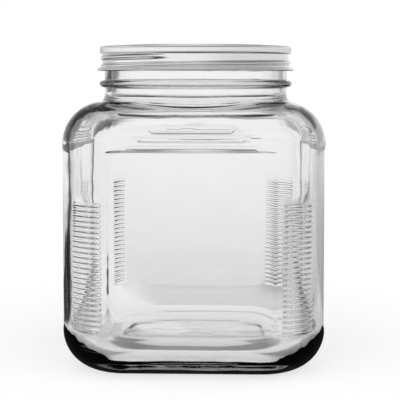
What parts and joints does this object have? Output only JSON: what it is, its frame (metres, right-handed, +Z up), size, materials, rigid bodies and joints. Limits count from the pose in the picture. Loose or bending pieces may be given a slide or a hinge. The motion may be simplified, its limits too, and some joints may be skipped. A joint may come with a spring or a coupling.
{
  "type": "square glass cookie jar with screw lid",
  "caption": "Clear glass jar with rounded corners, level ribs beside the front and back panels, stepped bars above flat face panels, a round screw neck and a spun metal screw lid.",
  "frame": {"origin": "middle of the resting face, on the jar's axis", "axes": "+Z up along the jar's axis, +X and +Y out of two neighbouring faces"},
  "size_m": [0.1662, 0.1662, 0.2046],
  "materials": {
    "clear_glass": "clear, fire-polished",
    "lid_metal": "satin, turned"
  },
  "bodies": {
    "root": {"jar": "clear_glass", "lid": "lid_metal"}
  },
  "joints": []
}
